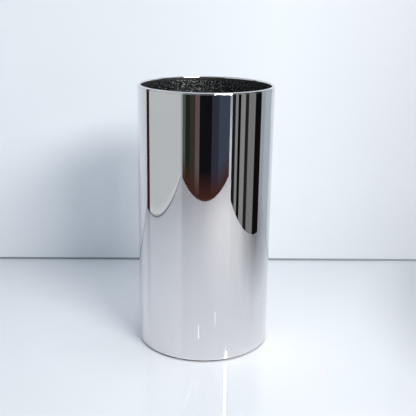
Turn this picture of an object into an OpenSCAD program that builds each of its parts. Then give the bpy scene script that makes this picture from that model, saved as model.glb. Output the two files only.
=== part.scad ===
// Cylindrical umbrella stand with a polished double wall.
// A rolled steel tube stands round a textured inner bucket, and a beaded rim
// ring closes the gap between them. Cast ballast under the bucket keeps the
// stand upright, and a drip tray with a centre pull lifts out of the top.
// Millimetres, Z up, origin on the floor at the centre of the foot.

/* [Tube] */
// Outer diameter of the tube
shell_d = 250; // [220:1:280]
// Height from the floor to the top of the rim
overall_h = 496; // [400:1:600]
// Thickness of the tube's sheet
shell_wall = 0.8; // [0.7:0.1:1.4]
// Outside radius of the bend between the tube and its turned-in flange
bend_r = 3; // [2.5:0.1:4]
// Inner diameter of the flange under the tube
flange_id = 198; // [190:1:200]

/* [Rim] */
// Width of the rim ring's bead, across the double wall
bead_w = 6; // [5.6:0.1:7]
// Straight height under the bead's half round
bead_skirt = 0.4; // [0.4:0.1:1]
// Depth of the tongue that is pressed into the tube
tongue_depth = 12; // [8:1:20]
// Height of the black seal that shows under the bead
seal_h = 3.6; // [3:0.1:5]

/* [Inner bucket] */
// How far the bucket's wall stands back from the bead's inner edge
liner_setback = 0.8; // [0.5:0.1:1.5]
// Thickness of the bucket's sheet
liner_wall = 0.8; // [0.7:0.1:1.4]
// Outside radius of the bend at the foot of the bucket
liner_bend_r = 8; // [5:0.5:10]
// Height of each foam band between the two walls
spacer_h = 14; // [8:1:25]

/* [Base] */
// Height of the rubber foot that shows under the tube
foot_h = 2.5; // [2.5:0.1:4]
// Radial width of the rubber foot
foot_w = 9.5; // [7:0.5:10]
// Gap from the tube's outside to the foot's outer edge
foot_inset = 4.5; // [4.5:0.5:5]
// Thickness of the base plate
plate_t = 2; // [1.5:0.1:3]
// Number of screws that hold the base plate
screw_count = 4; // [3:1:6]
// Radius of the circle that these screws lie on
screw_circle_r = 105; // [104.5:0.5:105.5]

/* [Ballast] */
// Diameter of the cast disc
ballast_d = 180; // [150:1:192]
// Thickness of the cast disc
ballast_t = 10; // [8:1:16]
// Thickness of the foam pad on the ballast
pad_t = 3; // [2:0.5:5]

/* [Drip tray] */
// Gap between the tray's lip and the rim ring's bead
tray_gap = 1.8; // [1.5:0.1:4]
// Height of the tray
tray_h = 26; // [22:1:40]
// Thickness of the tray's moulded wall
tray_wall = 2; // [1.6:0.1:2.5]
// Number of ribs that run outwards over the tray's floor
rib_count = 16; // [8:1:24]
// Height of the ribs above the tray's floor
rib_h = 3; // [2:0.5:4]

/* [Hidden] */
$fn = 96;
hexagon = 6;
cut_past = 1;

// The bead spans both walls, and its tongue sits against the tube's bore.
shell_r = shell_d / 2;
shell_bore_r = shell_r - shell_wall;
bead_r = bead_w / 2;
bead_inner_r = shell_r - bead_w;
bead_centre_z = overall_h - bead_r;
rim_seat_z = bead_centre_z - bead_skirt;
joint_chamfer = 0.3;
tongue_t = 1.3;
tongue_outer_r = shell_bore_r - 0.1;
tongue_inner_r = tongue_outer_r - tongue_t;

// The bucket's top edge stops under the seal.
liner_bore_r = bead_inner_r + liner_setback;
liner_r = liner_bore_r + liner_wall;
liner_top_z = rim_seat_z - seal_h;
seal_inner_r = liner_bore_r - 0.3;
seal_outer_r = tongue_inner_r - 0.1;
spacer_slack = 0.05;
upper_spacer_z = rim_seat_z - tongue_depth - 20;
lower_spacer_z = 60;

// Flange, plate, ballast, pad and bucket are stacked from the foot upwards.
plate_z = foot_h + shell_wall;
plate_r = shell_r - bend_r - 0.4;
ballast_z = plate_z + plate_t;
pad_z = ballast_z + ballast_t;
pad_d = ballast_d - 4;
liner_z = pad_z + pad_t;
liner_floor_z = liner_z + liner_wall;

// M4 screws and nuts round the flange, and one M6 screw into the ballast.
screw_r = 1.98;
screw_hole_r = 2.25;
screw_head_r = 4;
screw_head_h = 2;
screw_socket_af = 2.5;
screw_past_nut = 0.5;
nut_af = 7;
nut_h = 3.2;
nut_bore_r = 2;
ballast_screw_r = 3;
ballast_screw_bore_r = 3.02;
ballast_screw_hole_r = 3.2;
ballast_screw_head_r = 6;
ballast_screw_head_h = 2.2;
ballast_screw_socket_af = 4;
ballast_screw_reach = 8;
ballast_edge = 1.5;
head_chamfer = 0.8;
socket_part = 0.55;

// The tray stands on the bucket's floor, and these heights start there.
lip_w = 2;
lip_t = 2.4;
tray_lip_r = bead_inner_r - tray_gap;
tray_r = tray_lip_r - lip_w;
tray_bend_r = 6;
rib_t = 1.6;
rib_inner_r = 24;
rib_middle_r = 64;
rib_outer_r = tray_r - tray_bend_r - 4;
pull_h = tray_h - 2;
pull_stem_r = 6;
pull_head_r = 13;
pull_head_t = 5;
pull_fillet_r = 5;
foot_chamfer = 0.6;

// One copy of the children at each base screw.
module at_screws() {
    for (i = [0 : screw_count - 1])
        rotate([0, 0, 45 + i * 360 / screw_count])
            translate([screw_circle_r, 0, 0]) children();
}

// Half profile of a round block whose lower corner is rounded.
module round_foot_section(r, z0, z1, bend) {
    translate([0, z0]) square([r - bend, z1 - z0]);
    translate([0, z0 + bend]) square([r, z1 - z0 - bend]);
    translate([r - bend, z0 + bend]) circle(r = bend);
}

// Half profile of a sheet-metal cup, open at the top.
module cup_section(r, z0, z1, t, bend) {
    difference() {
        round_foot_section(r, z0, z1, bend);
        round_foot_section(r - t, z0 + t, z1 + cut_past, bend - t);
    }
}

// Plain ring between two radii and two heights.
module ring(inner_r, outer_r, z0, z1) {
    translate([0, 0, z0]) difference() {
        cylinder(r = outer_r, h = z1 - z0);
        translate([0, 0, -cut_past])
            cylinder(r = inner_r, h = z1 - z0 + 2 * cut_past);
    }
}

// Low screw head with a hexagon socket, seated under z = 0, and its shank.
module socket_screw(head_r, head_h, socket_af, shank_r, shank_h) {
    translate([0, 0, -head_h]) difference() {
        union() {
            cylinder(r1 = head_r - head_chamfer, r2 = head_r, h = head_chamfer);
            translate([0, 0, head_chamfer])
                cylinder(r = head_r, h = head_h - head_chamfer);
            translate([0, 0, head_chamfer])
                cylinder(r = shank_r, h = head_h - head_chamfer + shank_h);
        }
        translate([0, 0, -cut_past]) cylinder(
            r = socket_af / 2 / cos(30),
            h = head_h * socket_part + cut_past,
            $fn = hexagon
        );
    }
}

// Polished tube, rolled from sheet, with a flange turned in under it.
module outer_shell() {
    color("silver") difference() {
        rotate_extrude() cup_section(shell_r, foot_h, rim_seat_z, shell_wall, bend_r);
        translate([0, 0, foot_h - cut_past])
            cylinder(d = flange_id, h = shell_wall + 2 * cut_past);
        at_screws() translate([0, 0, foot_h - cut_past])
            cylinder(r = screw_hole_r, h = shell_wall + 2 * cut_past);
    }
}

// Half-round bead over both walls, with a tongue pressed into the tube.
module rim_ring() {
    color("gainsboro") rotate_extrude() {
        intersection() {
            translate([shell_r - bead_r, bead_centre_z]) circle(r = bead_r);
            translate([bead_inner_r, bead_centre_z]) square([bead_w, bead_w]);
        }
        difference() {
            translate([bead_inner_r, rim_seat_z]) square([bead_w, bead_skirt]);
            translate([shell_r, rim_seat_z]) rotate(45)
                square(joint_chamfer, center = true);
        }
        translate([tongue_inner_r, rim_seat_z - tongue_depth])
            square([tongue_t, tongue_depth]);
    }
}

// Rubber ring between the bucket's top edge and the bead.
module rim_seal() {
    color("black") ring(seal_inner_r, seal_outer_r, liner_top_z, rim_seat_z);
}

// Deep bucket with a coarse black coating inside.
module inner_liner() {
    color("#26262a") rotate_extrude()
        cup_section(liner_r, liner_z, liner_top_z, liner_wall, liner_bend_r);
}

// Foam band that holds the bucket central in the tube.
module spacer(z0) {
    ring(liner_r + spacer_slack, shell_bore_r - spacer_slack, z0, z0 + spacer_h);
}

module upper_spacer() {
    color("dimgray") spacer(upper_spacer_z);
}

module lower_spacer() {
    color("dimgray") spacer(lower_spacer_z);
}

// Foam disc that the bucket stands on.
module ballast_pad() {
    color("slategray") translate([0, 0, pad_z]) cylinder(d = pad_d, h = pad_t);
}

// Cast weight with chamfered edges and a tapped centre hole.
module ballast_disc() {
    small_d = ballast_d - 2 * ballast_edge;
    color("#4a4a4c") translate([0, 0, ballast_z]) difference() {
        union() {
            cylinder(d1 = small_d, d2 = ballast_d, h = ballast_edge);
            translate([0, 0, ballast_edge])
                cylinder(d = ballast_d, h = ballast_t - 2 * ballast_edge);
            translate([0, 0, ballast_t - ballast_edge])
                cylinder(d1 = ballast_d, d2 = small_d, h = ballast_edge);
        }
        translate([0, 0, -cut_past]) cylinder(
            r = ballast_screw_bore_r,
            h = ballast_t + 2 * cut_past
        );
    }
}

// Screw up through the plate's centre into the ballast.
module ballast_screw() {
    color("lightsteelblue") translate([0, 0, plate_z]) socket_screw(
        ballast_screw_head_r, ballast_screw_head_h, ballast_screw_socket_af,
        ballast_screw_r, plate_t + ballast_screw_reach
    );
}

// Steel disc that lies on the tube's flange and carries the ballast.
module base_plate() {
    hole_h = plate_t + 2 * cut_past;
    color("lightgray") translate([0, 0, plate_z]) difference() {
        cylinder(r = plate_r, h = plate_t);
        translate([0, 0, -cut_past]) cylinder(r = ballast_screw_hole_r, h = hole_h);
        at_screws() translate([0, 0, -cut_past]) cylinder(r = screw_hole_r, h = hole_h);
    }
}

// Hexagon nuts welded to the top of the plate.
module weld_nuts() {
    color("lightsteelblue") at_screws()
        translate([0, 0, plate_z + plate_t]) difference() {
            cylinder(r = nut_af / 2 / cos(30), h = nut_h, $fn = hexagon);
            translate([0, 0, -cut_past])
                cylinder(r = nut_bore_r, h = nut_h + 2 * cut_past);
        }
}

// Screws up through the flange and the plate into the nuts.
module base_screws() {
    shank_h = shell_wall + plate_t + nut_h + screw_past_nut;
    color("lightsteelblue") at_screws() translate([0, 0, foot_h]) socket_screw(
        screw_head_r, screw_head_h, screw_socket_af, screw_r, shank_h
    );
}

// Rubber ring bonded under the flange, set back from the tube's outside.
module foot_ring() {
    outer_r = shell_r - foot_inset;
    inner_r = outer_r - foot_w;
    color("#1c1c1c") rotate_extrude() polygon([
        [inner_r + foot_chamfer, 0],
        [outer_r - foot_chamfer, 0],
        [outer_r, foot_chamfer],
        [outer_r, foot_h],
        [inner_r, foot_h],
        [inner_r, foot_chamfer]
    ]);
}

// Half profile of the centre pull: a stem with a wide foot and a round-edged head.
module pull_section() {
    head_r = pull_head_t / 2;
    square([pull_stem_r, pull_h - head_r]);
    difference() {
        square([pull_stem_r + pull_fillet_r, tray_wall + pull_fillet_r]);
        translate([pull_stem_r + pull_fillet_r, tray_wall + pull_fillet_r])
            circle(r = pull_fillet_r);
    }
    translate([0, pull_h - pull_head_t]) square([pull_head_r - head_r, pull_head_t]);
    translate([pull_head_r - head_r, pull_h - head_r]) circle(r = head_r);
}

// Lift-out tray with raised ribs, so that umbrella tips stand out of the water.
module drip_tray() {
    lip_r = lip_t / 2;
    rib_z = tray_wall / 2;
    color("#303034") translate([0, 0, liner_floor_z]) {
        rotate_extrude() {
            cup_section(tray_r, 0, tray_h - lip_r, tray_wall, tray_bend_r);
            translate([tray_r - tray_wall, tray_h - lip_t])
                square([lip_w + tray_wall - lip_r, lip_t]);
            translate([tray_lip_r - lip_r, tray_h - lip_r]) circle(r = lip_r);
            pull_section();
        }
        for (i = [0 : rib_count - 1])
            rotate([0, 0, i * 360 / rib_count])
                translate([rib_inner_r, -rib_t / 2, rib_z])
                    cube([rib_outer_r - rib_inner_r, rib_t, rib_z + rib_h]);
        for (r = [rib_inner_r, rib_middle_r])
            ring(r - rib_t / 2, r + rib_t / 2, rib_z, tray_wall + rib_h);
    }
}

outer_shell();
rim_ring();
rim_seal();
inner_liner();
upper_spacer();
lower_spacer();
ballast_pad();
ballast_disc();
ballast_screw();
base_plate();
weld_nuts();
base_screws();
foot_ring();
drip_tray();
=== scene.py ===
import math

import bmesh
import bpy
from mathutils import Matrix, Vector, noise


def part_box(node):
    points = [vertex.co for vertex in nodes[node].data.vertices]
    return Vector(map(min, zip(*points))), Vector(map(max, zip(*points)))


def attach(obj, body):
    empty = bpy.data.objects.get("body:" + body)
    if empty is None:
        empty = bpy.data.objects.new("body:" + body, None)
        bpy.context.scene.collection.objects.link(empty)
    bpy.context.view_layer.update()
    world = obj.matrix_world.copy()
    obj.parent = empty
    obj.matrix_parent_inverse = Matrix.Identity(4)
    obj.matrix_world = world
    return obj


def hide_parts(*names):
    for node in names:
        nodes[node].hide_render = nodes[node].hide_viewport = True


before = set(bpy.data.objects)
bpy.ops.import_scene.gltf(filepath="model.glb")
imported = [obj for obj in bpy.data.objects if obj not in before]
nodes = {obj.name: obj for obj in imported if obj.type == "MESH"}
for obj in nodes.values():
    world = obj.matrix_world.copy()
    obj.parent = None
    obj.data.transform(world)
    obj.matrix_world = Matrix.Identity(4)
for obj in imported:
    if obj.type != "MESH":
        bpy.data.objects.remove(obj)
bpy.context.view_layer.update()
mm = 0.001


def spread(first, last, steps):
    # evenly spaced values, both ends included
    return [first + (last - first) * i / steps for i in range(steps + 1)]


def roundOutline(corners, closed=True, guard=0.25 * mm, arcSteps=5):
    # corners are (radius, height, rounding); a guard point each side of an arc keeps the flats flat
    outline = []
    count = len(corners)
    for i, (r, z, rounding) in enumerate(corners):
        here = Vector((r, z))
        if rounding <= 0 or (not closed and i in (0, count - 1)):
            outline.append(here)
            continue
        before = Vector(corners[i - 1][:2])
        after = Vector(corners[(i + 1) % count][:2])
        toBefore = (before - here).normalized()
        toAfter = (after - here).normalized()
        half = toBefore.angle(toAfter) / 2
        reach = rounding / math.tan(half)
        centre = here + (toBefore + toAfter).normalized() * rounding / math.sin(half)
        start = here + toBefore * reach - centre
        end = here + toAfter * reach - centre
        turn = start.angle_signed(end)
        outline.append(centre + start + toBefore * guard)
        for step in range(arcSteps + 1):
            outline.append(centre + Matrix.Rotation(-turn * step / arcSteps, 2) @ start)
        outline.append(centre + end + toAfter * guard)
    return [(point.x, point.y) for point in outline]


def splitLong(outline, longest, closed=True):
    # adds points along straight runs, so that no step is longer than the given one
    result = []
    pairs = list(zip(outline, outline[1:] + outline[:1]))
    for (r, z), (nextR, nextZ) in pairs if closed else pairs[:-1]:
        steps = max(1, math.ceil(math.hypot(nextR - r, nextZ - z) / longest))
        for i in range(steps):
            result.append((r + (nextR - r) * i / steps, z + (nextZ - z) * i / steps))
    return result if closed else result + [outline[-1]]


def turnedRings(outline, columns):
    turns = [math.tau * i / columns for i in range(columns)]
    return [[Vector((r * math.cos(a), r * math.sin(a), z)) for a in turns] for r, z in outline]


def makeSkin(name, rings, wrap=False, startPoint=None, endPoint=None):
    # joins rings of points into one smooth surface
    mesh = bmesh.new()
    loops = [[mesh.verts.new(point) for point in ring] for ring in rings]
    count = len(rings[0])
    pairs = list(zip(loops, loops[1:]))
    if wrap:
        pairs.append((loops[-1], loops[0]))
    for low, high in pairs:
        for i in range(count):
            j = (i + 1) % count
            mesh.faces.new((low[i], low[j], high[j], high[i]))
    for point, loop in ((startPoint, loops[0]), (endPoint, loops[-1])):
        if point is not None:
            tip = mesh.verts.new(point)
            for i in range(count):
                mesh.faces.new((loop[i], loop[(i + 1) % count], tip))
    bmesh.ops.recalc_face_normals(mesh, faces=mesh.faces)
    data = bpy.data.meshes.new(name)
    mesh.to_mesh(data)
    mesh.free()
    data.shade_smooth()
    piece = bpy.data.objects.new(name, data)
    bpy.context.scene.collection.objects.link(piece)
    return piece


def fitPiece(piece, body, slot, material, *replaced):
    piece.data.materials.clear()
    piece.data.materials.append(material)
    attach(piece, body)
    if replaced:
        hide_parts(*replaced)


def dressNode(node, material):
    for slot in nodes[node].material_slots:
        slot.material = material


def addNode(tree, kind, inputs=None, **settings):
    made = tree.nodes.new(kind)
    for key, value in settings.items():
        setattr(made, key, value)
    for key, value in (inputs or {}).items():
        if isinstance(value, bpy.types.NodeSocket):
            tree.links.new(value, made.inputs[key])
        else:
            made.inputs[key].default_value = value
    return made


def addMath(tree, operation, first, second=0.0, third=0.0, clamp=False):
    return addNode(tree, "ShaderNodeMath", {0: first, 1: second, 2: third},
                   operation=operation, use_clamp=clamp).outputs[0]


def mixColours(tree, factor, first, second, blend="MIX"):
    return addNode(tree, "ShaderNodeMix", {0: factor, 6: first, 7: second},
                   data_type="RGBA", blend_type=blend).outputs[2]


def remap(tree, value, fromLow, fromHigh, toLow=0.0, toHigh=1.0):
    return addNode(tree, "ShaderNodeMapRange",
                   {0: value, 1: fromLow, 2: fromHigh, 3: toLow, 4: toHigh}).outputs[0]


def makeRamp(tree, value, stops):
    ramp = addNode(tree, "ShaderNodeValToRGB", {0: value})
    elements = ramp.color_ramp.elements
    elements.remove(elements[1])
    for i, (position, tone) in enumerate(stops):
        stop = elements[0] if i == 0 else elements.new(position)
        stop.position = position
        stop.color = tuple(tone) + (1,)
    return ramp.outputs[0]


def objectPoint(tree):
    return addNode(tree, "ShaderNodeTexCoord").outputs["Object"]


def startGroup(name, inputs, outputs):
    group = bpy.data.node_groups.new(name, "ShaderNodeTree")
    for label, kind, value in inputs:
        socket = group.interface.new_socket(label, in_out="INPUT", socket_type=kind)
        if value is not None:
            socket.default_value = value
    for label, kind in outputs:
        group.interface.new_socket(label, in_out="OUTPUT", socket_type=kind)
    return group, group.nodes.new("NodeGroupInput").outputs, group.nodes.new("NodeGroupOutput").inputs


def useGroup(tree, group, **inputs):
    made = tree.nodes.new("ShaderNodeGroup")
    made.node_tree = group
    for key, value in inputs.items():
        if isinstance(value, bpy.types.NodeSocket):
            tree.links.new(value, made.inputs[key])
        else:
            made.inputs[key].default_value = value
    return made.outputs


def startMaterial(name):
    material = bpy.data.materials.new(name)
    material.use_nodes = True
    tree = material.node_tree
    return material, tree, tree.nodes["Principled BSDF"]


def setSockets(tree, shader, values):
    for key, value in values.items():
        if isinstance(value, bpy.types.NodeSocket):
            tree.links.new(value, shader.inputs[key])
        else:
            shader.inputs[key].default_value = value


def bumpFrom(tree, height, distance, strength=1.0):
    return addNode(tree, "ShaderNodeBump",
                   {"Height": height, "Distance": distance, "Strength": strength}).outputs[0]


def makePatchyTone():
    # slow drift between two tones, as on any real finish
    group, given, wanted = startGroup(
        "patchyTone",
        [("point", "NodeSocketVector", None), ("size", "NodeSocketFloat", 0.05),
         ("toneA", "NodeSocketColor", None), ("toneB", "NodeSocketColor", None)],
        [("tone", "NodeSocketColor"), ("patch", "NodeSocketFloat")])
    perMetre = addMath(group, "DIVIDE", 1.0, given["size"])
    cloud = addNode(group, "ShaderNodeTexNoise",
                    {"Vector": given["point"], "Scale": perMetre, "Detail": 4.0, "Roughness": 0.6})
    patch = remap(group, cloud.outputs[0], 0.35, 0.65)
    group.links.new(patch, wanted["patch"])
    group.links.new(mixColours(group, patch, given["toneA"], given["toneB"]), wanted["tone"])
    return group


def makeFineGrain():
    # two sizes of grain, for a bump's height and for roughness
    group, given, wanted = startGroup(
        "fineGrain",
        [("point", "NodeSocketVector", None), ("size", "NodeSocketFloat", 0.001),
         ("coarseShare", "NodeSocketFloat", 0.5)],
        [("height", "NodeSocketFloat")])
    perMetre = addMath(group, "DIVIDE", 1.0, given["size"])
    fine = addNode(group, "ShaderNodeTexNoise",
                   {"Vector": given["point"], "Scale": perMetre, "Detail": 2.0})
    slower = addMath(group, "MULTIPLY", perMetre, 0.27)
    coarse = addNode(group, "ShaderNodeTexVoronoi", {"Vector": given["point"], "Scale": slower})
    height = addNode(group, "ShaderNodeMix",
                     {0: given["coarseShare"], 2: fine.outputs[0], 3: coarse.outputs[0]})
    group.links.new(height.outputs[0], wanted["height"])
    return group


def makeRubMarks():
    # hairline rubbing round and along a piece, and the soft smudges that hands leave
    group, given, wanted = startGroup(
        "rubMarks",
        [("point", "NodeSocketVector", None), ("lineWidth", "NodeSocketFloat", 0.0006),
         ("smudgeSize", "NodeSocketFloat", 0.06)],
        [("lines", "NodeSocketFloat"), ("smudge", "NodeSocketFloat")])
    perMetre = addMath(group, "DIVIDE", 1.0, given["lineWidth"])
    stretched = addNode(group, "ShaderNodeVectorMath",
                        {0: given["point"], 1: (0.02, 0.02, 1.0)}, operation="MULTIPLY")
    around = addNode(group, "ShaderNodeTexNoise",
                     {"Vector": stretched.outputs[0], "Scale": perMetre, "Detail": 3.0, "Roughness": 0.7})
    upright = addNode(group, "ShaderNodeVectorMath",
                      {0: given["point"], 1: (1.0, 1.0, 0.015)}, operation="MULTIPLY")
    slower = addMath(group, "MULTIPLY", perMetre, 0.6)
    along = addNode(group, "ShaderNodeTexNoise",
                    {"Vector": upright.outputs[0], "Scale": slower, "Detail": 2.0})
    lines = addNode(group, "ShaderNodeMix", {0: 0.35, 2: around.outputs[0], 3: along.outputs[0]})
    group.links.new(lines.outputs[0], wanted["lines"])
    smudgeScale = addMath(group, "DIVIDE", 1.0, given["smudgeSize"])
    smear = addNode(group, "ShaderNodeTexNoise",
                    {"Vector": given["point"], "Scale": smudgeScale, "Detail": 5.0,
                     "Roughness": 0.62, "Distortion": 0.6})
    group.links.new(remap(group, smear.outputs[0], 0.5, 0.78), wanted["smudge"])
    return group


patchyTone = makePatchyTone()
fineGrain = makeFineGrain()
rubMarks = makeRubMarks()
print("shared effects ready")


mirrorFinish = {
    "tone": (0.765, 0.745, 0.762, 1),
    "duskyTone": (0.742, 0.723, 0.741, 1),
    "roughness": 0.018,
    "smudgeRoughness": 0.022,
    "lineDepth": 0.0000012,
    "patchSize": 0.11,
    "rubWidth": 0.0007,
    "smudgeSize": 0.07,
    "seamWidth": 0.004,        # the ground seam stands at the back
    "seamRoughness": 0.11,
    "footLineHeight": 0.035,
    "footLineScale": 90.0,
    "footRoughness": 0.02,
}


def makeMirrorSteel():
    v = mirrorFinish
    material, tree, shader = startMaterial("mirrorSteel")
    point = objectPoint(tree)
    tones = useGroup(tree, patchyTone, point=point, size=v["patchSize"],
                     toneA=v["tone"], toneB=v["duskyTone"])
    marks = useGroup(tree, rubMarks, point=point, lineWidth=v["rubWidth"], smudgeSize=v["smudgeSize"])
    parts = addNode(tree, "ShaderNodeSeparateXYZ", {0: point})
    # the seam: a narrow upright band, a little duller than the rest
    sideways = addMath(tree, "ABSOLUTE", parts.outputs[0])
    band = remap(tree, sideways, v["seamWidth"] * 0.35, v["seamWidth"] * 0.5, 1.0, 0.0)
    behind = addMath(tree, "GREATER_THAN", parts.outputs[1], 0.0)
    seam = addMath(tree, "MULTIPLY", band, behind)
    # turning marks left near the foot by the bending rollers
    low = remap(tree, parts.outputs[2], 0.004, v["footLineHeight"], 1.0, 0.0)
    footRings = addNode(tree, "ShaderNodeTexWave",
                        {"Vector": point, "Scale": v["footLineScale"], "Distortion": 0.4,
                         "Detail": 2.0},
                        bands_direction="Z")
    rings = addMath(tree, "MULTIPLY", footRings.outputs[1], low)
    rough = addMath(tree, "MULTIPLY_ADD", marks["smudge"], v["smudgeRoughness"], v["roughness"])
    rough = addMath(tree, "MULTIPLY_ADD", seam, v["seamRoughness"], rough)
    rough = addMath(tree, "MULTIPLY_ADD", low, v["footRoughness"], rough)
    height = addMath(tree, "MULTIPLY_ADD", rings, 0.8, marks["lines"])
    height = addMath(tree, "MULTIPLY_ADD", seam, 2.0, height)
    setSockets(tree, shader, {
        "Base Color": tones["tone"], "Metallic": 1.0, "Roughness": rough,
        "Normal": bumpFrom(tree, height, v["lineDepth"]),
    })
    return material


coatingFinish = {
    "tone": (0.002, 0.0022, 0.003, 1),
    "wornTone": (0.006, 0.0065, 0.008, 1),
    "fleckTone": (0.5, 0.5, 0.51, 1),
    "fleckSize": 0.0026,
    "roughness": 0.26,
    "grain": 0.0013,
    "grainDepth": 0.0007,
    "gloss": 0.3,
    "fleckStart": 0.66,
    "fleckFull": 0.9,
    "fleckSheenMiddle": -0.033,     # painted highlight: the bright flecks gather round here, across the stand
    "fleckSheenReach": 0.07,
    "fleckSheenCore": 0.01,
    "fleckShareOffSheen": 0.25,
    "patchSize": 0.012,
    "coarseShare": 0.45,
    "rubWidth": 0.002,
    "smudgeSize": 0.05,
    "fleckMetal": 0.9,
}


def makeHammeredCoating():
    v = coatingFinish
    material, tree, shader = startMaterial("hammeredCoating")
    point = objectPoint(tree)
    tones = useGroup(tree, patchyTone, point=point, size=v["patchSize"],
                     toneA=v["tone"], toneB=v["wornTone"])
    grain = useGroup(tree, fineGrain, point=point, size=v["grain"], coarseShare=v["coarseShare"])
    marks = useGroup(tree, rubMarks, point=point, lineWidth=v["rubWidth"], smudgeSize=v["smudgeSize"])
    # bare metal flecks show through on the tops of the lumps
    flecks = useGroup(tree, patchyTone, point=point, size=v["fleckSize"],
                      toneA=(0, 0, 0, 1), toneB=(1, 1, 1, 1))
    fleck = remap(tree, flecks["patch"], v["fleckStart"], v["fleckFull"])
    # painted highlight: the coating's own flecks are gathered in one band of the wall, where light catches
    # them, and only a share of them shows elsewhere
    parts = addNode(tree, "ShaderNodeSeparateXYZ", {0: point})
    sideways = addMath(tree, "SUBTRACT", parts.outputs[0], v["fleckSheenMiddle"])
    away = addMath(tree, "ABSOLUTE", sideways)
    shown = remap(tree, away, v["fleckSheenReach"], v["fleckSheenCore"], v["fleckShareOffSheen"], 1.0)
    fleck = addMath(tree, "MULTIPLY", fleck, shown)
    rough = addMath(tree, "MULTIPLY_ADD", tones["patch"], 0.12, v["roughness"])
    rough = addMath(tree, "MULTIPLY_ADD", marks["smudge"], 0.08, rough)
    setSockets(tree, shader, {
        "Base Color": mixColours(tree, fleck, tones["tone"], v["fleckTone"]),
        "Metallic": addMath(tree, "MULTIPLY", fleck, v["fleckMetal"]),
        "Roughness": rough, "Specular IOR Level": v["gloss"],
        "Normal": bumpFrom(tree, grain["height"], v["grainDepth"]),
    })
    return material


def makeSimpleFinish(name, toneA, toneB, patchSize, roughness, roughSpread, grainSize, grainDepth,
                     coarseShare=0.4, metallic=0.0, specular=0.5):
    # the finishes that differ only in tone, gloss and grain
    material, tree, shader = startMaterial(name)
    point = objectPoint(tree)
    tones = useGroup(tree, patchyTone, point=point, size=patchSize, toneA=toneA, toneB=toneB)
    grain = useGroup(tree, fineGrain, point=point, size=grainSize, coarseShare=coarseShare)
    rough = addMath(tree, "MULTIPLY_ADD", tones["patch"], roughSpread, roughness)
    setSockets(tree, shader, {
        "Base Color": tones["tone"], "Metallic": metallic, "Roughness": rough,
        "Specular IOR Level": specular,
        "Normal": bumpFrom(tree, grain["height"], grainDepth),
    })
    return material


plainFinishes = {
    "blackRubber": dict(toneA=(0.011, 0.011, 0.012, 1), toneB=(0.02, 0.02, 0.021, 1), patchSize=0.02,
                        roughness=0.55, roughSpread=0.14, grainSize=0.0005, grainDepth=0.00006),
    "greyFoam": dict(toneA=(0.085, 0.085, 0.09, 1), toneB=(0.14, 0.14, 0.145, 1), patchSize=0.006,
                     roughness=0.85, roughSpread=0.1, grainSize=0.0012, grainDepth=0.0005,
                     coarseShare=0.8, specular=0.2),
    "castIron": dict(toneA=(0.075, 0.075, 0.08, 1), toneB=(0.12, 0.118, 0.12, 1), patchSize=0.02,
                     roughness=0.6, roughSpread=0.2, grainSize=0.0011, grainDepth=0.00035,
                     metallic=0.35),
    "zincHardware": dict(toneA=(0.60, 0.62, 0.64, 1), toneB=(0.52, 0.53, 0.50, 1), patchSize=0.004,
                         roughness=0.28, roughSpread=0.18, grainSize=0.0004, grainDepth=0.00003,
                         metallic=1.0),
    "mouldedPlastic": dict(toneA=(0.017, 0.0175, 0.02, 1), toneB=(0.025, 0.026, 0.029, 1),
                           patchSize=0.03, roughness=0.42, roughSpread=0.12, grainSize=0.0006,
                           grainDepth=0.00008),
}


def makeRolledSteel():
    material, tree, shader = startMaterial("rolledSteel")
    point = objectPoint(tree)
    tones = useGroup(tree, patchyTone, point=point, size=0.035,
                     toneA=(0.53, 0.535, 0.545, 1), toneB=(0.43, 0.43, 0.435, 1))
    # mill lines run straight across the sheet
    across = addNode(tree, "ShaderNodeVectorMath", {0: point, 1: (0.02, 1.0, 1.0)}, operation="MULTIPLY")
    mill = addNode(tree, "ShaderNodeTexNoise", {"Vector": across.outputs[0], "Scale": 1400.0, "Detail": 3.0})
    rough = addMath(tree, "MULTIPLY_ADD", mill.outputs[0], 0.2, 0.26)
    setSockets(tree, shader, {
        "Base Color": tones["tone"], "Metallic": 1.0, "Roughness": rough,
        "Normal": bumpFrom(tree, mill.outputs[0], 0.00001),
    })
    return material


finishes = {"mirrorSteel": makeMirrorSteel(), "hammeredCoating": makeHammeredCoating(),
            "rolledSteel": makeRolledSteel()}
for finishName, values in plainFinishes.items():
    finishes[finishName] = makeSimpleFinish(finishName, **values)
print("finishes ready")


tube = {
    "sheet": 0.8 * mm,
    "footBend": 3.0 * mm,
    "flangeInner": 99 * mm,
    "edge": 0.15 * mm,
    "columns": 512,
    "rowStep": 7 * mm,
    "waveDepth": 0.05 * mm,    # how far the rolled sheet strays from a true circle
    "waveTurns": 7.0,
}


def strayFromRound(point, depth, turns, height=0.3):
    # slow waves round the tube, which hardly change along its height
    angle = math.atan2(point.y, point.x)
    ring = Vector((math.cos(angle) * turns / 2, math.sin(angle) * turns / 2, point.z / height))
    return depth * noise.noise(ring)


def makeTube():
    low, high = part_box("outer_shell")
    outer = high[0]
    inner = outer - tube["sheet"]
    outline = roundOutline([
        (outer, high[2], tube["edge"]),
        (inner, high[2], tube["edge"]),
        (inner, low[2] + tube["sheet"], tube["footBend"] - tube["sheet"]),
        (tube["flangeInner"], low[2] + tube["sheet"], tube["edge"]),
        (tube["flangeInner"], low[2], tube["edge"]),
        (outer, low[2], tube["footBend"]),
    ], arcSteps=8)
    rings = turnedRings(splitLong(outline, tube["rowStep"]), tube["columns"])
    for ring in rings:
        for point in ring:
            radius = math.hypot(point.x, point.y)
            if radius < outer - 0.01 * mm:
                continue
            # fades to nothing at both ends, and only ever goes inwards
            fade = min(1.0, (point.z - low[2]) / 0.02, (high[2] - point.z) / 0.02)
            stray = strayFromRound(point, tube["waveDepth"], tube["waveTurns"])
            scale = 1 - max(0.0, fade) * (tube["waveDepth"] - stray) * 0.5 / radius
            point.x *= scale
            point.y *= scale
    piece = makeSkin("mirrorTube", rings, wrap=True)
    fitPiece(piece, "stand", "polished_steel", finishes["mirrorSteel"], "outer_shell")


makeTube()
print("tube ready")


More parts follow.
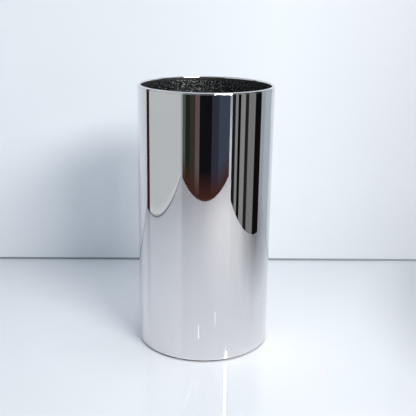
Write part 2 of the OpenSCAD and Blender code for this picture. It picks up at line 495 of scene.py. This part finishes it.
rim = {
    "bead": 3 * mm,
    "skirt": 0.4 * mm,
    "joint": 0.3 * mm,
    "tongueInner": 122.8 * mm,
    "tongueOuter": 124.1 * mm,
    "columns": 512,
    "beadSteps": 28,
}


def makeRim():
    low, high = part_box("rim_ring")
    outer = high[0]
    centreR = outer - rim["bead"]
    centreZ = high[2] - rim["bead"]
    seat = centreZ - rim["skirt"]
    outline = [(centreR + rim["bead"] * math.cos(a), centreZ + rim["bead"] * math.sin(a))
               for a in spread(0, math.pi, rim["beadSteps"])]
    outline += roundOutline([
        (centreR - rim["bead"], seat, 0.12 * mm),
        (rim["tongueInner"], seat, 0),
        (rim["tongueInner"], low[2], 0.2 * mm),
        (rim["tongueOuter"], low[2], 0.2 * mm),
        (rim["tongueOuter"], seat, 0),
        (outer - rim["joint"], seat, 0),
        (outer, seat + rim["joint"], 0),
    ], closed=False, arcSteps=3)
    piece = makeSkin("rolledRim", turnedRings(outline, rim["columns"]), wrap=True)
    fitPiece(piece, "stand", "polished_steel", finishes["mirrorSteel"], "rim_ring")


seal = {
    "inner": 119.5 * mm,
    "lipRounding": 0.9 * mm,
    "backRounding": 0.2 * mm,
    "columns": 256,
}


def makeSeal():
    low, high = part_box("rim_seal")
    outline = roundOutline([
        (high[0], high[2], seal["backRounding"]),
        (seal["inner"], high[2], seal["lipRounding"]),
        (seal["inner"], low[2], seal["lipRounding"]),
        (high[0], low[2], seal["backRounding"]),
    ])
    piece = makeSkin("rimSeal", turnedRings(outline, seal["columns"]), wrap=True)
    fitPiece(piece, "stand", "black_rubber", finishes["blackRubber"], "rim_seal")


makeRim()
makeSeal()
print("rim ready")


bucket = {
    "sheet": 0.8 * mm,
    "inner": 119.8 * mm,
    "bend": 8 * mm,
    "columns": 520,
    "fineBand": 50 * mm,       # the top of the wall, which is seen close up
    "fineStep": 1.0 * mm,
    "coarseStep": 4.2 * mm,
    "grain": 3.4 * mm,
    "depth": 0.42 * mm,
}


def hammerMark(point, grain):
    # rounded lumps with creases between them
    distances = noise.voronoi(point / grain)[0]
    lump = min(1.0, (distances[1] - distances[0]) * 1.7)
    return lump * (0.6 + 0.4 * noise.noise(point / grain * 0.45))


def makeBucket():
    low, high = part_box("inner_liner")
    inner = bucket["inner"]
    outer = high[0]
    floorTop = low[2] + bucket["sheet"]
    outline = roundOutline([
        (6 * mm, floorTop, 0),
        (inner, floorTop, bucket["bend"] - bucket["sheet"]),
        (inner, high[2] - bucket["fineBand"], 0),
        (inner, high[2], 0.2 * mm),
        (outer, high[2], 0.2 * mm),
        (outer, low[2], bucket["bend"]),
        (6 * mm, low[2], 0),
    ], closed=False, arcSteps=6)
    rows = []
    for (r, z), (nextR, nextZ) in zip(outline, outline[1:]):
        onWall = r < inner + 0.01 * mm and nextR < inner + 0.01 * mm and r > 0.1
        nearTop = onWall and z >= high[2] - bucket["fineBand"] - 0.01 * mm
        step = bucket["fineStep"] if nearTop else bucket["coarseStep"] if onWall else 40 * mm
        count = max(1, math.ceil(math.hypot(nextR - r, nextZ - z) / step))
        rows += [(r + (nextR - r) * i / count, z + (nextZ - z) * i / count) for i in range(count)]
    rows.append(outline[-1])
    rings = turnedRings(rows, bucket["columns"])
    for (r, z), ring in zip(rows, rings):
        if abs(r - inner) > 0.01 * mm or z > high[2] - 0.4 * mm:
            continue
        fade = min(1.0, (high[2] - z) / (1.5 * mm))
        for point in ring:
            inward = fade * bucket["depth"] * hammerMark(point, bucket["grain"])
            point.x *= 1 - inward / r
            point.y *= 1 - inward / r
    piece = makeSkin("hammeredBucket", rings, startPoint=(0, 0, floorTop), endPoint=(0, 0, low[2]))
    fitPiece(piece, "stand", "black_coating", finishes["hammeredCoating"], "inner_liner")


makeBucket()
print("bucket ready")


foot = {
    "inner": 111 * mm,
    "chamfer": 0.6 * mm,
    "grooves": (113.2 * mm, 115.2 * mm, 117.2 * mm),   # fine grip grooves underneath
    "grooveHalf": 0.35 * mm,
    "grooveDepth": 0.35 * mm,
    "columns": 256,
}


def makeFoot():
    low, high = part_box("foot_ring")
    outer = high[0]
    corners = [(foot["inner"], high[2], 0.1 * mm), (foot["inner"], low[2], 0.5 * mm)]
    for middle in foot["grooves"]:
        corners += [(middle - foot["grooveHalf"], low[2], 0.08 * mm),
                    (middle, low[2] + foot["grooveDepth"], 0.08 * mm),
                    (middle + foot["grooveHalf"], low[2], 0.08 * mm)]
    corners += [(outer - foot["chamfer"], low[2], 0.15 * mm),
                (outer, low[2] + foot["chamfer"], 0.15 * mm),
                (outer, high[2], 0.1 * mm)]
    outline = roundOutline(corners, guard=0.05 * mm, arcSteps=3)
    piece = makeSkin("rubberFoot", turnedRings(outline, foot["columns"]), wrap=True)
    fitPiece(piece, "stand", "black_rubber", finishes["blackRubber"], "foot_ring")


makeFoot()
print("foot ready")


tray = {
    "wall": 2 * mm,
    "outer": 115.2 * mm,
    "lipOuter": 117.2 * mm,
    "lipThickness": 2.4 * mm,
    "bend": 6 * mm,
    "ribCount": 16,
    "ribHalf": 0.8 * mm,
    "ribTop": 5.0 * mm,        # above the tray's underside
    "ribStart": 24 * mm,
    "ribEnd": 105.2 * mm,
    "ringRibs": (24 * mm, 64 * mm),
    "stem": 6 * mm,
    "stemFillet": 5 * mm,
    "headRadius": 13 * mm,
    "headThickness": 5 * mm,
    "headTop": 24 * mm,        # above the tray's underside
    "soften": 0.7 * mm,        # how far a rib's shoulder is spread
    # how far from a rib's middle its rows of points stand
    "ribRows": [d * mm for d in (-1.6, -1.15, -0.95, -0.8, -0.65, -0.45, 0,
                                 0.45, 0.65, 0.8, 0.95, 1.15, 1.6)],
}


def softStep(value):
    value = min(1.0, max(0.0, value))
    return value * value * (3 - 2 * value)


def ribShape(offset, half, soften):
    # 1 on the rib, 0 off it, with a rounded shoulder
    return softStep((half + soften / 2 - abs(offset)) / soften)


def trayRows(low, height):
    # (radius, height, how much the ribs show there) from the pull's top, out over the lip and back below
    t = tray
    bottom = low
    floorTop = low + t["wall"]
    top = low + height
    headTop = low + t["headTop"]
    pull = roundOutline([
        (1.5 * mm, headTop - 0.3 * mm, 0),
        (t["headRadius"], headTop, 1.6 * mm),
        (t["headRadius"], headTop - t["headThickness"], 1.6 * mm),
        (t["stem"], headTop - t["headThickness"], 1.2 * mm),
        (t["stem"], floorTop, t["stemFillet"]),
        (20 * mm, floorTop, 0),
    ], closed=False, arcSteps=7)
    rows = [(r, z, 0.0) for r, z in pull]
    soften = t["soften"]
    marks = []
    for middle in t["ringRibs"]:
        marks += [middle + d for d in spread(-1.5 * mm, 1.5 * mm, 10)]
    marks += spread(28 * mm, 60 * mm, 8) + spread(68 * mm, 103 * mm, 9)
    marks += spread(103.5 * mm, 106.5 * mm, 6)
    for r in sorted(marks):
        ringRise = max(ribShape(r - middle, t["ribHalf"], soften) for middle in t["ringRibs"])
        reach = softStep((t["ribEnd"] + soften / 2 - r) / soften) if r > t["ribStart"] else 0.0
        rows.append((r, floorTop + ringRise * (t["ribTop"] - t["wall"]), reach))
    inner = t["outer"] - t["wall"]
    wall = roundOutline([
        (108 * mm, floorTop, 0),
        (inner, floorTop, t["bend"] - t["wall"]),
        (inner, top, 0.9 * mm),
        (t["lipOuter"], top, 1.1 * mm),
        (t["lipOuter"], top - t["lipThickness"], 0.7 * mm),
        (t["outer"], top - t["lipThickness"], 0.5 * mm),
        (t["outer"], bottom, t["bend"]),
        (16 * mm, bottom, 0),
        (14 * mm, bottom + 0.4 * mm, 0),
        (2 * mm, bottom + 0.4 * mm, 0),
    ], closed=False, arcSteps=7)
    return rows + [(r, z, 0.0) for r, z in wall]


def makeTray():
    t = tray
    low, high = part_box("drip_tray")
    soften = t["soften"]
    acrossRib = t["ribRows"]
    pitch = math.tau / t["ribCount"]
    rings = []
    for r, z, reach in trayRows(low[2], high[2] - low[2]):
        spanRadius = max(r, t["ribStart"])
        edge = acrossRib[-1] / spanRadius
        ring = []
        for rib in range(t["ribCount"]):
            middle = rib * pitch
            for offset in acrossRib:
                rise = reach * ribShape(offset, t["ribHalf"], soften) * (t["ribTop"] - t["wall"])
                angle = middle + offset / spanRadius
                top = max(z, low[2] + t["wall"] + rise) if reach > 0 else z
                ring.append(Vector((r * math.cos(angle), r * math.sin(angle), top)))
            for angle in spread(middle + edge, middle + pitch - edge, 6)[1:-1]:
                ring.append(Vector((r * math.cos(angle), r * math.sin(angle), z)))
        rings.append(ring)
    headTop = low[2] + t["headTop"]
    piece = makeSkin("dripTray", rings, startPoint=(0, 0, headTop - 0.35 * mm),
                     endPoint=(0, 0, low[2] + 0.4 * mm))
    fitPiece(piece, "tray", "tray_plastic", finishes["mouldedPlastic"], "drip_tray")


makeTray()
print("tray ready")


for node, finish in {
    "upper_spacer": "greyFoam",
    "lower_spacer": "greyFoam",
    "ballast_pad": "greyFoam",
    "ballast_disc": "castIron",
    "ballast_screw": "zincHardware",
    "weld_nuts": "zincHardware",
    "base_screws": "zincHardware",
    "base_plate": "rolledSteel",
}.items():
    dressNode(node, finishes[finish])
print("inner pieces dressed")


studio = {
    "floorReach": 6.0,
    "floorHole": 0.117,        # lets light reach the underside when it is looked at from below
    "floorTone": (0.833, 0.848, 0.887, 1),
    # painted light: how light the floor is painted at each distance from the stand, brightest by the foot
    "floorFalloff": [(0.117, 1.0), (0.4, 0.92), (0.8, 0.79), (1.2, 0.58)],
    "floorRightFade": 0.07,
    # painted shade and painted light on the floor: the first patch darkens it, the second lightens it
    "floorPatches": [          # place, reach, strength, tone
        ((0.84, 0.05, 0.0), 0.52, 0.53, (0, 0, 0, 1)),
        ((0.48, -0.80, 0.0), 0.60, 0.50, (0.97, 0.945, 0.925, 1)),
    ],
    "floorRoughness": 0.03,
    "floorGloss": 0.4,
    "floorSteps": 128,
    "wallLeft": (-4.0, 0.3185),
    "wallRight": (4.0, 0.5110),
    "wallHeight": 3.0,
    "wallTone": (0.89, 0.915, 0.96, 1),
    "wallRoughness": 0.55,
    "wallGloss": 0.3,
    # painted light fall-off: backdrop and floor are painted darker towards the right
    "wallRightFade": 0.21,
    "fadeStart": 0.17,         # where the right-hand fade starts and ends, across the stage
    "fadeEnd": 0.52,
    # painted shade: the backdrop is painted darker near the floor
    "lowFade": 0.06,           # the backdrop is a little darker near the floor
    "lowFadeTop": 0.2,
    # painted shade: a dark strip stands for the shadow in the gap at the backdrop's foot
    "gapHeight": 0.005,        # the dark line where the backdrop meets the floor
    "gapAhead": 0.0008,
    "gapRoughness": 0.6,
    "gapGloss": 0.2,
    "gapTone": (0.28, 0.31, 0.33, 1),
    "glintHeight": 0.0006,
    "steelShare": (0.754, 0.734, 0.752),   # what the polished steel gives back of a flag's light
}


def oneSided(tree, shader):
    # seen from behind, the surface isn't there
    output = tree.nodes["Material Output"]
    back = addNode(tree, "ShaderNodeNewGeometry").outputs["Backfacing"]
    clear = addNode(tree, "ShaderNodeBsdfTransparent")
    mix = addNode(tree, "ShaderNodeMixShader", {0: back, 1: shader.outputs[0], 2: clear.outputs[0]})
    tree.links.new(mix.outputs[0], output.inputs[0])


def makeStageSurface(name, tone, roughness, specular, rightFade=0.0, lowFade=0.0, falloff=None):
    material, tree, shader = startMaterial(name)
    point = objectPoint(tree)
    dusky = tuple(c * 0.985 for c in tone[:3]) + (1,)
    tones = useGroup(tree, patchyTone, point=point, size=0.9, toneA=tone, toneB=dusky)
    # painted light fall-off: the surface is painted darker towards its right-hand side
    parts = addNode(tree, "ShaderNodeSeparateXYZ", {0: point})
    side = remap(tree, parts.outputs[0], studio["fadeStart"], studio["fadeEnd"], 0.0, rightFade)
    faded = mixColours(tree, side, tones["tone"], (0, 0, 0, 1))
    # painted shade near the floor
    low = remap(tree, parts.outputs[2], 0.0, studio["lowFadeTop"], lowFade, 0.0)
    faded = mixColours(tree, low, faded, (0, 0, 0, 1))
    # painted light on the floor: the ramp by distance, then a painted shade patch and a painted light patch
    if falloff:
        flat = addNode(tree, "ShaderNodeVectorMath", {0: point, 1: (1.0, 1.0, 0.0)}, operation="MULTIPLY")
        away = addNode(tree, "ShaderNodeVectorMath", {0: flat.outputs[0]}, operation="LENGTH")
        reach = falloff[-1][0]
        share = addMath(tree, "DIVIDE", away.outputs["Value"], reach)
        levels = makeRamp(tree, share, [(far / reach, (level,) * 3) for far, level in falloff])
        faded = mixColours(tree, 1.0, faded, levels, "MULTIPLY")
        for centre, patchReach, strength, patchTone in studio["floorPatches"]:
            gap = addNode(tree, "ShaderNodeVectorMath", {0: point, 1: centre}, operation="DISTANCE")
            share = remap(tree, gap.outputs["Value"], patchReach * 0.2, patchReach, strength, 0.0)
            faded = mixColours(tree, share, faded, patchTone)
    setSockets(tree, shader, {"Base Color": faded, "Roughness": roughness,
                              "Specular IOR Level": specular})
    oneSided(tree, shader)
    return material


def stageMesh(name, points, faces, material):
    data = bpy.data.meshes.new(name)
    data.from_pydata(points, [], faces)
    data.materials.append(material)
    made = bpy.data.objects.new(name, data)
    bpy.context.scene.collection.objects.link(made)
    return made


def upright(name, start, end, bottom, top, material):
    points = [(start[0], start[1], bottom), (end[0], end[1], bottom),
              (end[0], end[1], top), (start[0], start[1], top)]
    return stageMesh(name, points, [(0, 1, 2, 3)], material)


def makeRoom():
    s = studio
    floorMaterial = makeStageSurface("paleFloor", s["floorTone"], s["floorRoughness"], s["floorGloss"],
                                     s["floorRightFade"], falloff=s["floorFalloff"])
    steps = s["floorSteps"]
    turns = [math.tau * i / steps for i in range(steps)]
    points = [(s["floorHole"] * math.cos(a), s["floorHole"] * math.sin(a), 0) for a in turns]
    points += [(s["floorReach"] * math.cos(a), s["floorReach"] * math.sin(a), 0) for a in turns]
    faces = [(i, i + steps, (i + 1) % steps + steps, (i + 1) % steps) for i in range(steps)]
    stageMesh("floor", points, faces, floorMaterial)
    wallMaterial = makeStageSurface("paleWall", s["wallTone"], s["wallRoughness"], s["wallGloss"],
                                    s["wallRightFade"], s["lowFade"])
    upright("backdrop", s["wallLeft"], s["wallRight"], 0, s["wallHeight"], wallMaterial)
    # painted shade: a dark strip stands for the shadowed gap where the backdrop meets the floor
    gapMaterial = makeStageSurface("backdropGap", s["gapTone"], s["gapRoughness"], s["gapGloss"])
    ahead = s["gapAhead"]
    upright("backdropFoot", (s["wallLeft"][0], s["wallLeft"][1] - ahead),
            (s["wallRight"][0], s["wallRight"][1] - ahead), 0, s["gapHeight"], gapMaterial)


# glowing panels that only the steel sees: painted reflections of the room round the stand, no lamps
flagSet = {
    "tall": 1.4,
    "front": -1.2,             # where each row of glowing strips stands, painting the reflection of cloths
    "right": 0.8,
    "frontStart": -0.9,
    "rightStart": -0.9,
    "footHeight": 0.1,         # the front strips' painted reflection turns warmer below this
    "footTone": (0.25, 0.14, 0.12),
    "unevenness": 0.08,
}

# glowing strips side by side, painted reflections of cloths that only the steel sees: width and tone
frontPaintedReflections = [
    (0.15, (0.30, 0.31, 0.30)),
    (0.20, (0.10, 0.15, 0.10)),
    (0.20, (0.20, 0.18, 0.17)),
    (0.15, (0.35, 0.30, 0.28)),
    (0.40, (0.06, 0.06, 0.08)),
    (0.25, (0.18, 0.18, 0.23)),
    (0.50, (0.22, 0.25, 0.31)),
]
rightPaintedReflections = [
    (0.15, (0.10, 0.10, 0.12)),
    (0.10, (0.50, 0.50, 0.50)),
    (0.10, (0.05, 0.05, 0.05)),
    (0.15, (0.50, 0.50, 0.50)),
    (0.10, (0.12, 0.12, 0.12)),
    (0.20, (0.45, 0.45, 0.45)),
    (0.20, (0.05, 0.05, 0.05)),
]


# panels standing alone, painted reflections of boards and shade that only the steel sees, leftBoard's dark
# bottom centimetre a painted shadow line: name, two foot corners, unevenness, tones by height
boardReflections = [
    ("leftBoard", (-0.95, 0.2), (-0.95, -1.15), 0.015,
     [(0.0, (0.22, 0.24, 0.26)), (0.01, (0.75, 0.76, 0.78)), (0.04, (0.70, 0.71, 0.72))]),
    ("leftStrip", (-0.95, 0.35), (-0.95, 0.2), 0.08, [(0.0, (0.20, 0.12, 0.10))]),
    ("rightBoard", (1.1, 0.1), (1.1, 0.4), 0.03, [(0.0, (0.57, 0.59, 0.61))]),
    ("backShade", (1.1, 0.4), (0.5, 0.4), 0.02, [(0.0, (0.62, 0.66, 0.70))]),
]


def hangFlags():
    f = flagSet
    x = f["frontStart"]
    for i, (width, tone) in enumerate(frontPaintedReflections):
        stops = [(0.0, f["footTone"]), (f["footHeight"], tone)]
        makeFlag("frontPaintedReflection%d" % i, (x, f["front"]), (x + width, f["front"]), f["unevenness"], stops)
        x += width
    y = f["rightStart"]
    for i, (width, tone) in enumerate(rightPaintedReflections):
        makeFlag("rightPaintedReflection%d" % i, (f["right"], y), (f["right"], y + width), f["unevenness"],
                 [(0.0, tone)])
        y += width
    for board in boardReflections:
        makeFlag(*board)


# painted glints: thin glowing slits on the floor, no lamp, that only the steel sees: name, its two ends on
# the floor, half its width, strength
glints = [
    ("glintLeft", (-0.03, -0.28), (-0.02, -0.22), 0.0026, 1.3),
    ("glintRight", (0.10, -0.33), (0.08, -0.27), 0.0026, 1.3),
]


def onlyForSteel(made):
    made.visible_camera = False
    made.visible_diffuse = False
    made.visible_shadow = False


def makeGlint(name, start, end, half, strength):
    material = bpy.data.materials.new(name)
    material.use_nodes = True
    tree = material.node_tree
    tree.nodes.remove(tree.nodes["Principled BSDF"])
    glow = addNode(tree, "ShaderNodeEmission", {"Strength": strength})
    tree.links.new(glow.outputs[0], tree.nodes["Material Output"].inputs[0])
    across = Vector((start[1] - end[1], end[0] - start[0])).normalized() * half
    points = [(x + sign * across.x, y + sign * across.y, studio["glintHeight"])
              for (x, y), sign in ((start, 1), (start, -1), (end, -1), (end, 1))]
    onlyForSteel(stageMesh(name, points, [(0, 1, 2, 3)], material))


def toLinear(tone):
    return [c / 12.92 if c <= 0.04045 else ((c + 0.055) / 1.055) ** 2.4 for c in tone]


# a glowing panel, no lamp, that only the steel sees: a painted reflection, its tones raised so that the
# steel gives them back
def makeFlag(name, start, end, unevenness, stops):
    tall = flagSet["tall"]
    material = bpy.data.materials.new(name)
    material.use_nodes = True
    tree = material.node_tree
    tree.nodes.remove(tree.nodes["Principled BSDF"])
    point = objectPoint(tree)
    parts = addNode(tree, "ShaderNodeSeparateXYZ", {0: point})
    rise = addMath(tree, "DIVIDE", parts.outputs[2], tall)
    shown = []
    for height, tone in stops:
        glowTone = [c / share for c, share in zip(toLinear(tone), studio["steelShare"])]
        shown.append((height / tall, glowTone))
    # painted reflection: the glow brightens and dims in soft upright streaks, like folds in a reflected
    # cloth
    streakPoint = addNode(tree, "ShaderNodeVectorMath", {0: point, 1: (1.0, 1.0, 0.06)}, operation="MULTIPLY")
    glowStreaks = addNode(tree, "ShaderNodeTexNoise", {"Vector": streakPoint.outputs[0], "Scale": 26.0, "Detail": 3.0})
    strength = remap(tree, glowStreaks.outputs[0], 0.3, 0.7, 1 - unevenness, 1 + unevenness)
    glow = addNode(tree, "ShaderNodeEmission", {"Color": makeRamp(tree, rise, shown), "Strength": strength})
    tree.links.new(glow.outputs[0], tree.nodes["Material Output"].inputs[0])
    onlyForSteel(upright(name, start, end, 0, tall, material))


lamps = [
    # name, turn round the stand and rise in degrees, distance, size, power, colour, shines, lights surfaces
    ("keyLight", 34, 37, 3.1, (1.2, 0.7), 60, (1.0, 0.98, 0.92), False, True),
    ("softbox", 33, 44, 3.2, (1.5, 1.5), 110, (1.0, 1.0, 1.0), True, False),
    ("glareLamp", 40, 31, 3.2, (0.30, 0.55), 45, (1.0, 1.0, 1.0), True, False),
    ("lampLeft", -12, 24.4, 3.2, (0.03, 0.05), 1.2, (1.0, 1.0, 1.0), True, False),
    ("lampRight", 19, 23.6, 3.2, (0.03, 0.05), 1.2, (1.0, 1.0, 1.0), True, False),
]


def makeLamp(name, turn, rise, distance, size, power, colour, shines, lights):
    data = bpy.data.lights.new(name, "AREA")
    data.shape = "ELLIPSE" if name == "softbox" else "RECTANGLE"
    data.size, data.size_y = size
    data.energy = power
    data.color = colour
    lamp = bpy.data.objects.new(name, data)
    across = math.radians(turn)
    upward = math.radians(rise)
    away = Vector((math.sin(across) * math.cos(upward), -math.cos(across) * math.cos(upward),
                   math.sin(upward)))
    lamp.location = away * distance
    lamp.rotation_euler = (-away).to_track_quat("-Z", "Y").to_euler()
    lamp.visible_camera = False
    lamp.visible_glossy = shines
    lamp.visible_diffuse = lights
    bpy.context.scene.collection.objects.link(lamp)


topLight = {"strength": 0.38, "spread": 40, "tone": (0.97, 0.985, 1.0)}


def makeTopLight():
    # an even wash from straight above, which hardly touches the backdrop
    data = bpy.data.lights.new("topLight", "SUN")
    data.energy = topLight["strength"]
    data.angle = math.radians(topLight["spread"])
    data.color = topLight["tone"]
    lamp = bpy.data.objects.new("topLight", data)
    lamp.visible_glossy = False
    bpy.context.scene.collection.objects.link(lamp)


sky = {"tone": (0.87, 1.0, 1.11), "strength": 0.50}


def makeSky():
    world = bpy.data.worlds.new("softSky")
    world.use_nodes = True
    background = world.node_tree.nodes["Background"]
    background.inputs[0].default_value = sky["tone"] + (1,)
    background.inputs[1].default_value = sky["strength"]
    bpy.context.scene.world = world


shot = {
    "place": (0.0, -1.3619, 0.6653),
    "downward": 16.557,
    "leaning": 0.882,
    "turned": 0.269,
    "lens": 64.476,
    "sensor": 36.0,
}


def makeCamera():
    down, lean, turn = (math.radians(shot[key]) for key in ("downward", "leaning", "turned"))
    forward = Vector((math.sin(turn) * math.cos(down), math.cos(turn) * math.cos(down), -math.sin(down)))
    right = forward.cross(Vector((0, 0, 1))).normalized()
    up = right.cross(forward)
    leanRight = right * math.cos(lean) + up * math.sin(lean)
    leanUp = up * math.cos(lean) - right * math.sin(lean)
    data = bpy.data.cameras.new("camera")
    data.lens = shot["lens"]
    data.sensor_width = shot["sensor"]
    camera = bpy.data.objects.new("camera", data)
    axes = Matrix((leanRight, leanUp, -forward)).transposed()
    camera.matrix_world = Matrix.Translation(shot["place"]) @ axes.to_4x4()
    bpy.context.scene.collection.objects.link(camera)
    bpy.context.scene.camera = camera


makeRoom()
hangFlags()
for glint in glints:
    makeGlint(*glint)
for lamp in lamps:
    makeLamp(*lamp)
makeTopLight()
makeSky()
makeCamera()
bpy.context.scene.view_settings.view_transform = "Standard"
print("studio ready")

bpy.context.view_layer.update()
